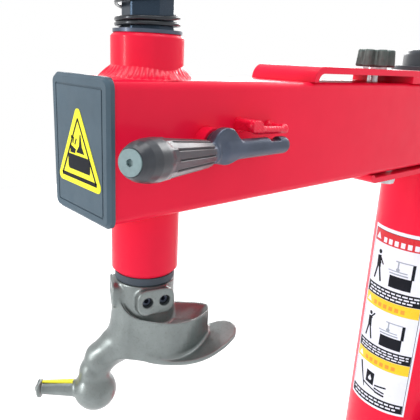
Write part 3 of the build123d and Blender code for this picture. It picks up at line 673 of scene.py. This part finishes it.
def lathe(name, stations, radius_at, segments, material, place, ends):
    """Mesh round the X axis: one ring per station, closed by the given end rings (x, radius)."""
    rows = [(x, [r] * segments) for x, r in ends[0]]
    rows += [(x, [radius_at(x, 2 * math.pi * k / segments) for k in range(segments)]) for x in stations]
    rows += [(x, [r] * segments) for x, r in ends[1]]
    verts = [(rows[0][0], 0, 0)]
    for x, ring in rows:
        for k, r in enumerate(ring):
            a = 2 * math.pi * k / segments
            verts.append((x, r * math.cos(a), r * math.sin(a)))
    verts.append((rows[-1][0], 0, 0))
    faces = [(0, 1 + (k + 1) % segments, 1 + k) for k in range(segments)]
    for i in range(len(rows) - 1):
        a, b = 1 + i * segments, 1 + (i + 1) * segments
        for k in range(segments):
            n = (k + 1) % segments
            faces.append((a + k, a + n, b + n, b + k))
    last = 1 + (len(rows) - 1) * segments
    faces += [(len(verts) - 1, last + k, last + (k + 1) % segments) for k in range(segments)]
    return mesh_piece(name, verts, faces, material, place @ Matrix.Scale(MM, 4))


def add_lever():
    step = 0.8
    lever = cast_piece("lever_forging", lever_field, (-44, -20, -20), (88, 24, 20), step,
                       materials["lever_steel"], LEVER_PLACE)
    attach(lever, "lock_lever")
    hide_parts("lever")
    rows = 200
    nose = -GRIP_LENGTH
    heel = -GRIP_BARE
    stations = [nose + (heel - nose) * i / rows for i in range(rows + 1)]
    place = LEVER_PLACE @ Matrix.Translation(Vector(GRIP_HEEL) * MM) @ GRIP_TURN
    segments = 360
    ends = ([(nose + 2.3, 3.0), (nose + 2.1, PLUG_SEAT_R), (nose + 0.2, PLUG_SEAT_R + 0.04)], [(heel, 9.3)])
    material = materials["grip_plastic"]
    grip = lathe("lever_grip_fluted", stations, grip_radius, segments, material, place, ends)
    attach(grip, "lock_lever")
    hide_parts("lever_grip")


add_lever()

# ---- red stop over the lever's tail ------------------------------------------
stop_lo, stop_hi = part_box("lever_stop")
STOP_ROOT_Y = -47.0        # just inside the beam's side
STOP_CUT_Y = -45.5
STOP_ROD_R = (3.9, 3.7)


def add_lever_stop():
    """Welded lug and bent bar, lumpy where the weld and the thick paint are."""
    x0, x1 = stop_lo[0] / MM, stop_hi[0] / MM
    top = stop_hi[2] / MM
    bar_z = top - 10.5
    front = stop_lo[1] / MM
    bar_y = front + 4.0

    def field(p):
        middle_y = (front + STOP_ROOT_Y) / 2
        lug = slab(p, (x0 + 7, middle_y, bar_z + 4.0), (6.5, (STOP_ROOT_Y - front) / 2, 5.4), 1.2)
        cut = (p[..., 0] - (x0 + 9)) * 0.55 + (p[..., 2] - (top - 0.5)) * 0.83
        other = -(p[..., 0] - (x0 + 3)) * 0.70 + (p[..., 2] - (top - 1.0)) * 0.71
        lug = blend_max(blend_max(lug, cut, 1.0), other, 1.0)
        thick, thin = STOP_ROD_R
        bend = (x1 - 6, bar_y, bar_z - 1.2)
        rod = limb(p, (x0 + 7, bar_y, bar_z + 0.5), bend, thick, thin)
        leg = limb(p, bend, (x1 - 5, -46.0, bar_z), thin, thick)
        body = blend_min(lug, blend_min(rod, leg, 1.0), 3.0)
        lumps = (((x0 + 1.5, bar_y + 1, bar_z + 3.5), 2.6), ((x0 + 13.5, bar_y, bar_z + 1.0), 4.4),
                 ((x1 - 5.5, bar_y + 1.5, bar_z + 0.6), 3.9), ((x0 + 7, -48.5, bar_z + 2), 6.0),
                 ((x1 - 5, -48.2, bar_z), 5.2))
        for centre, r in lumps:
            body = blend_min(body, ball(p, centre, r), 2.2)
        ripple = 0.22 * np.sin(p[..., 0] * 1.7) * np.sin(p[..., 1] * 1.3 + 1) * np.sin(p[..., 2] * 1.9)
        below = (bar_z - 4.6) - p[..., 2]
        behind = p[..., 1] - STOP_CUT_Y
        return blend_max(blend_max(body + ripple, below, 0.8), behind, 0.3)

    step = 0.6
    low = (x0 - 3, front - 3, bar_z - 7)
    high = (x1 + 3, STOP_CUT_Y + 0.9, top + 3)
    place = Matrix.Identity(4)
    stop = cast_piece("lever_stop_welded", field, low, high, step, materials["red_weld"], place)
    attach(stop, "swing_arm")
    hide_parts("lever_stop")


add_lever_stop()

# ---- weld round the collar ---------------------------------------------------


def wobble(angle, seed):
    """Smooth closed wave round a circle, about -1 to 1."""
    return sum(math.sin((n + 2) * angle + seed * (n + 1.7)) / (n + 1.5) for n in range(5)) / 1.4


def add_weld(name, node, z_face, up, height, spread, seed, ripple):
    """Fillet bead: hollow profile from the tube down to the plate, with ripples along it."""
    segments, across = 360, 12
    tube_r = (tube_hi[0] - tube_lo[0]) / 2 / MM
    verts, faces = [], []
    for k in range(segments):
        a = 2 * math.pi * k / segments
        h = height * (1 + 0.20 * wobble(a, seed))
        w = spread * (1 + 0.22 * wobble(a, seed + 3))
        ring = [(tube_r - 1.0, h * 0.9)]
        for i in range(across + 1):
            t = i / across
            hollow = 0.24 * math.sin(math.pi * t)
            lump = 0.5 * math.sin(ripple * a + 2.2 * t) * math.sin(math.pi * t)
            lump += 1.6 * max(0.0, wobble(3 * a, seed + 9)) * math.sin(math.pi * t)
            r = tube_r - 0.6 + (w + 0.6) * (t - hollow * 0.35) + 0.4 * lump
            ring.append((r, h * (1 - t - hollow * 0.45) + lump))
        ring.append((tube_r + w + 0.3, -0.6))
        ring.append((tube_r - 1.0, -0.6))
        verts += [(r * math.cos(a), r * math.sin(a), z) for r, z in ring]
    n = across + 4
    for k in range(segments):
        a, b = k * n, ((k + 1) % segments) * n
        for i in range(n):
            j = (i + 1) % n
            faces.append((a + i, a + j, b + j, b + i))
    flip = Matrix.Scale(up, 4, (0, 0, 1))
    place = Matrix.Translation((HEX.x, HEX.y, z_face)) @ flip @ Matrix.Scale(MM, 4)
    if up < 0:
        faces = [f[::-1] for f in faces]
    bead = mesh_piece(name, verts, faces, materials["red_weld"], place)
    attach(bead, "swing_arm")
    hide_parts(node)


add_weld("collar_weld_bead", "collar_weld", ARM_TOP, 1, 10.5, 10.5, 1.3, 46)
add_weld("sleeve_weld_bead", "sleeve_weld", ARM_BOTTOM, -1, 3.6, 3.6, 4.1, 60)

# ---- star knob ---------------------------------------------------------------
star_lo, star_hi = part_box("star_knob")
STAR_LOBES = 6


def add_star():
    """Rough cast star nut: uneven lobes that lean in, dished on top."""
    height = (star_hi[2] - star_lo[2]) / MM
    reach = (star_hi[0] - star_lo[0]) / 2 / MM

    def field(p):
        core = limb(p, (0, 0, 4), (0, 0, height - 4), 17.5, 15.5)
        for i in range(STAR_LOBES):
            a = math.radians(360 / STAR_LOBES * i)
            c, s = math.cos(a), math.sin(a)
            out = reach - 7.4 - 0.5 * math.sin(2.3 * i)
            lobe = limb(p, (out * c, out * s, -2), ((out - 1.2) * c, (out - 1.2) * s, height + 2), 7.3, 6.2)
            core = blend_min(core, lobe, 4.0)
        body = blend_max(core, np.abs(p[..., 2] - height / 2) - height / 2 + 0.2, 2.6)
        body = blend_max(body, -ball(p, (0, 0, height + 24), 27.5), 2.0)
        rough = 0.16 * np.sin(p[..., 0] * 1.9 + p[..., 2]) * np.sin(p[..., 1] * 2.1 - p[..., 2] * 1.3)
        stud = drum(p, (0, 0, 2), (0, 0, 1), 8.1, 14.5, 0.2)
        return np.maximum(body + rough, -stud)

    centre = Vector(((star_lo[0] + star_hi[0]) / 2, (star_lo[1] + star_hi[1]) / 2, star_lo[2]))
    step = 0.7
    star = cast_piece("star_knob_casting", field, (-30, -30, -2), (30, 30, height + 3), step,
                      materials["star_cast"], Matrix.Translation(centre))
    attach(star, "star_clamp")
    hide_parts("star_knob")


add_star()

# ---- printed labels: thin plain shapes, no lettering ---------------------------
LABEL_STEP = 0.003         # longest flat stretch round the column
UNDER_PRINT = 0.00007
OVER_PRINT = 0.00014
CAP_PRINT = 0.00010


def capsule(a, b, w):
    """Outline of a thick stroke with rounded ends, from a to b."""
    a, b = Vector(a), Vector(b)
    turn = math.atan2((b - a).y, (b - a).x)
    points = []
    for centre, start in ((b, -math.pi / 2), (a, math.pi / 2)):
        for i in range(7):
            t = turn + start + math.pi * i / 6
            points.append((centre.x + w / 2 * math.cos(t), centre.y + w / 2 * math.sin(t)))
    return points


def bar_shape(a, b, w0, w1=None):
    """Straight stroke with square ends, which may taper."""
    w1 = w0 if w1 is None else w1
    a, b = Vector(a), Vector(b)
    side = Vector((-(b - a).y, (b - a).x)).normalized()
    corners = (a - side * w0 / 2, b - side * w1 / 2, b + side * w1 / 2, a + side * w0 / 2)
    return [tuple(corner) for corner in corners]


def even(start, pitch, count):
    return [start + pitch * n for n in range(count)]


def rect(u0, u1, v0, v1):
    return [(u0, v0), (u1, v0), (u1, v1), (u0, v1)]


def disc(u, v, r):
    return [(u + r * math.cos(math.pi * i / 12), v + r * math.sin(math.pi * i / 12)) for i in range(24)]


def print_shapes(name, shapes, material, body, place, layer, wrap=False):
    """One thin sheet per outline, in millimetres, laid on a face by place(u, v, height)."""
    bm = bmesh.new()
    for outline_points in shapes:
        verts = [bm.verts.new((u * MM, v * MM, 0)) for u, v in outline_points]
        bm.faces.new(verts)
    bm.normal_update()
    for face in bm.faces:
        if face.normal.z < 0:
            face.normal_flip()
    if wrap:
        low = min(v.co.x for v in bm.verts)
        high = max(v.co.x for v in bm.verts)
        x = low + LABEL_STEP
        while x < high - LABEL_STEP / 3:
            everything = bm.verts[:] + bm.edges[:] + bm.faces[:]
            bmesh.ops.bisect_plane(bm, geom=everything, plane_co=(x, 0, 0), plane_no=(1, 0, 0), dist=1e-7)
            x += LABEL_STEP
    made = bmesh.ops.extrude_face_region(bm, geom=bm.faces[:])
    for item in made["geom"]:
        if isinstance(item, bmesh.types.BMVert):
            item.co.z += layer
    for vert in bm.verts:
        vert.co = place(vert.co.x, vert.co.y, vert.co.z)
    bmesh.ops.recalc_face_normals(bm, faces=bm.faces)
    mesh = bpy.data.meshes.new(name)
    bm.to_mesh(mesh)
    bm.free()
    mesh.materials.append(material)
    piece = bpy.data.objects.new(name, mesh)
    bpy.context.collection.objects.link(piece)
    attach(piece, body)


# The warning triangle on the end cap, seen from the arm's free end: u runs to the viewer's right.
tri_lo, tri_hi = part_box("end_cap_label")
TRI_TOP = (tri_hi[2] - tri_lo[2]) / MM


def on_cap(u, v, height):
    return Vector((tri_lo[0] - height, -u, tri_lo[2] + v))


def add_triangle_print():
    apex = (0.0, TRI_TOP - 8.4)
    left = (-30.5, 6.6)
    right = (30.5, 6.6)
    frame_lines = [bar_shape(left, apex, 2.2, 2.0), bar_shape(right, apex, 2.2, 2.0),
                   bar_shape((left[0] - 1.0, left[1]), (right[0] + 1.0, right[1]), 3.6)]
    block = [(-19, 15), (-17, 13), (19.5, 13), (20.5, 15), (20.5, 23), (17, 26.5), (-19, 26.5)]
    press = [(-4, 29.0), (11, 29.0), (6.6, 35.0), (4.9, 45.0), (3.1, 45.0), (1.6, 35.0)]
    piece = [(-14.5, 27.8), (-6, 27.8), (-4.2, 31.5), (-14.5, 35.0)]
    marks = [disc(-11.5, 41.5, 1.5), bar_shape((-9.6, 36.5), (-7.8, 42), 1.7)]
    marks += [bar_shape((-6.0, 35.5), (-3.0, 41), 1.7)]
    print_shapes("cap_label_print", frame_lines + [block, press, piece] + marks,
                 materials["label_ink"], "swing_arm", on_cap, CAP_PRINT)


add_triangle_print()

# The column's label: u runs round the column to the viewer's right, v up from its lower edge.
label_lo, label_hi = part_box("column_label")
LABEL_R = -label_lo[0]
LABEL_H = (label_hi[2] - label_lo[2]) / MM
LABEL_HALF = math.asin((label_hi[1] - label_lo[1]) / 2 / LABEL_R) * LABEL_R / MM


def on_column(u, v, height):
    a = math.pi + u / LABEL_R
    r = LABEL_R + height
    return Vector((r * math.cos(a), r * math.sin(a), label_lo[2] + v))


def dash_rows(v0, v1, rows, seed):
    """Rows of short dashes in place of small print."""
    shapes = []
    pitch = (v1 - v0) / rows
    for row in range(rows):
        u = -LABEL_HALF + 10.0 + 3.0 * (row % 2)
        n = 0
        while u < LABEL_HALF - 12.0 - 9.0 * (row == rows - 1):
            length = 5.5 + 4.0 * abs(math.sin(1.9 * n + seed + row))
            v = v1 - (row + 0.5) * pitch
            shapes.append(rect(u, min(u + length, LABEL_HALF - 9.0), v - pitch * 0.24, v + pitch * 0.24))
            u += length + 2.4
            n += 1
    return shapes


def machine_icon(u, v, s):
    """Plain outline of a workshop machine: cabinet and column, and its paler arm and table."""
    dark = [rect(u, u + 30 * s, v, v + 17 * s), rect(u + 28 * s, u + 32 * s, v + 17 * s, v + 38 * s)]
    pale = [rect(u + 6 * s, u + 29 * s, v + 37 * s, v + 38.6 * s)]
    pale += [rect(u + 9 * s, u + 11 * s, v + 27 * s, v + 37 * s)]
    pale += [disc(u + 10 * s, v + 26.5 * s, 2.6 * s)]
    pale += [rect(u - 1 * s, u + 24 * s, v + 19 * s, v + 21 * s)]
    pale += [rect(u - 3 * s, u + 23 * s, v + 23 * s, v + 24.5 * s)]
    return dark, pale


def worker_icon(u, v, s, reach):
    """Plain standing figure: head, trunk, two legs and two arms."""
    head = disc(u, v + 41 * s, 3.1 * s)
    trunk = [(u - 4 * s, v + 35 * s), (u + 3 * s, v + 36.5 * s), (u + 4.5 * s, v + 19 * s)]
    trunk += [(u - 3.5 * s, v + 19 * s)]
    legs = [capsule((u - 1.6 * s, v + 20 * s), (u - 5.5 * s, v + 1.5 * s), 3.3 * s),
            capsule((u + 2 * s, v + 20 * s), (u + 7 * s, v + 0.5 * s), 3.3 * s)]
    arms = [capsule((u + 1.5 * s, v + 34.5 * s), (u + 8 * s, v + (34.5 - reach) * s), 2.5 * s),
            capsule((u - 2 * s, v + 34.5 * s), (u + 3.5 * s, v + (30 - reach / 2) * s), 2.5 * s)]
    return [head, trunk] + legs + arms


def pinch_icon(u, v):
    """Plain foot, wedge and block under a falling drop: the dark shapes, and the white drop."""
    dark = [bar_shape((u + 20, v + 52), (u + 36, v + 3), 5.5, 2.2)]
    dark += [bar_shape((u + 32, v + 14), (u + 62, v + 6), 3.2)]
    dark += [[(u + 38, v + 18), (u + 56, v + 15), (u + 56, v + 41), (u + 38, v + 43)]]
    dark += [capsule((u + 60, v + 18), (u + 80, v + 21), 3.4)]
    dark += [capsule((u + 62, v + 5), (u + 78, v + 3), 4.0)]
    dark += [capsule((u + 60, v + 12), (u + 78, v + 9), 3.2)]
    drop = [disc(u + 47, v + 27, 3.6), [(u + 43.6, v + 28), (u + 50.4, v + 28), (u + 47, v + 35)]]
    return dark, drop


def triangle_mark(u, v, s):
    return [(u - 5 * s, v), (u + 5 * s, v), (u, v + 9 * s)]


RULE_WIDE = 0.9
# the label's level lines, as fractions of its height from its top edge
LABEL_LINES = (0.020, 0.085, 0.310, 0.372, 0.432, 0.640, 0.697, 0.757, 0.935, 0.984)


def add_column_print():
    """Red heading, two pictures with dashes and amber bars under them, and a third picture at the foot."""
    half = LABEL_HALF
    lines = [LABEL_H * (1.0 - fraction) for fraction in LABEL_LINES]
    top, heading, print_1, amber_1, foot_1, print_2, amber_2, foot_2, print_3, foot_3 = lines
    edge = half - 4.2
    outer = edge + RULE_WIDE
    band = half - 4.6
    red = [rect(-band, band, heading, top)]
    amber = [rect(-band, band, foot_1, amber_1), rect(-band, band, foot_2, amber_2)]
    black = [rect(-band, band, amber_1 + 0.5, print_1), rect(-band, band, amber_2 + 0.5, print_2)]
    black += [rect(-band, band, foot_3, print_3)]
    border = [rect(-outer, -edge, foot_3, top), rect(edge, outer, foot_3, top)]
    border += [rect(-outer, outer, top, top + RULE_WIDE), rect(-outer, outer, foot_3 - RULE_WIDE, foot_3)]
    pale = [triangle_mark(-half + 15, heading + 5, 1.35)]
    pale += [bar_shape((u, heading + 7.5), (u + 7.5, heading + 7.5), 9.5) for u in even(-half + 30, 12, 6)]
    cream = [triangle_mark(-half + 15, foot + 5, 1.25) for foot in (foot_1, foot_2)]
    orange = [bar_shape((u, foot + 9), (u + 7.0, foot + 9), 8.0)
              for foot in (foot_1, foot_2) for u in even(-half + 29, 11, 6)]
    dark, grey = [], []
    for low, tall, reach in ((print_1 + 6, 1.32, 9), (print_2 + 5, 1.22, -8)):
        dark += worker_icon(-half + 26, low + 3, tall, reach)
        cabinet, light = machine_icon(-half + 54, low, 1.35)
        dark += cabinet
        grey += light
    pinch, drop = pinch_icon(-half, print_3 + 6)
    dark += pinch
    dashes = dash_rows(amber_1 + 2.5, print_1 - 2, 3, 0.4) + dash_rows(amber_2 + 2.5, print_2 - 2, 3, 1.7)
    dashes += dash_rows(foot_3 + 1.5, print_3 - 2, 2, 2.9)
    for name, shapes, ink, layer in (("label_red_band", red, "label_red", UNDER_PRINT),
                                     ("label_amber_bands", amber, "label_amber", UNDER_PRINT),
                                     ("label_black_print", black + border + dark, "label_ink", UNDER_PRINT),
                                     ("label_grey_print", grey, "label_grey", UNDER_PRINT),
                                     ("label_pale_marks", pale + cream, "label_white", OVER_PRINT),
                                     ("label_orange_marks", orange, "label_orange", OVER_PRINT),
                                     ("label_white_dashes", dashes + drop, "label_white", OVER_PRINT)):
        print_shapes(name, shapes, materials[ink], "column", on_column, layer, True)


add_column_print()

# ---- floor and light ---------------------------------------------------------


def add_stage():
    """Pale floor, and a sky that is white below and greys a little overhead."""
    verts = [(-4, -3, 0), (3, -3, 0), (3, 3, 0), (-4, 3, 0)]
    pale = surface("floor_pale", (0.93, 0.93, 0.93), 0.7, tint=0.02, tint_scale=2.0, edge=0.0)
    floor = mesh_piece("floor", verts, [(0, 1, 2, 3)], pale, smooth=False)
    world = bpy.data.worlds.new("studio")
    world.use_nodes = True
    tree = world.node_tree
    sky = tree.nodes["Background"]
    coords = tree.nodes.new("ShaderNodeTexCoord")
    split = tree.nodes.new("ShaderNodeSeparateXYZ")
    tree.links.new(coords.outputs["Generated"], split.inputs["Vector"])
    shade = ramp(tree, to_range(tree, split.outputs["Z"], 0.0, 1.0, -1.0, 1.0),
                 [(0.0, (1.0, 1.0, 1.0)), (0.62, (1.0, 1.0, 1.0)), (1.0, (0.55, 0.58, 0.62))])
    tree.links.new(shade, sky.inputs["Color"])
    sky.inputs["Strength"].default_value = 1.0
    bpy.context.scene.world = world


def add_light(name, place, target, size, power):
    """Soft rectangular panel that the camera doesn't see."""
    data = bpy.data.lights.new(name, "AREA")
    data.shape = "RECTANGLE"
    data.size, data.size_y = size
    data.energy = power
    lamp = bpy.data.objects.new(name, data)
    lamp.location = place
    lamp.rotation_euler = (Vector(target) - Vector(place)).to_track_quat("-Z", "Y").to_euler()
    lamp.visible_camera = False
    bpy.context.collection.objects.link(lamp)


add_stage()
middle = ((beam_lo[0] + beam_hi[0]) / 2, 0.0, ARM_TOP)
add_light("overhead", (-0.4, 0.1, 2.6), middle, (2.0, 1.4), 30)
add_light("back_panel", (2.6, 2.9, 1.75), middle, (3.4, 0.9), 110)
add_light("side_panel", (1.6, 0.4, 1.95), middle, (1.2, 0.8), 20)
add_light("strip", (-2.3, 0.55, 1.15), middle, (0.18, 1.2), 16)
bpy.context.scene.view_settings.view_transform = "Standard"
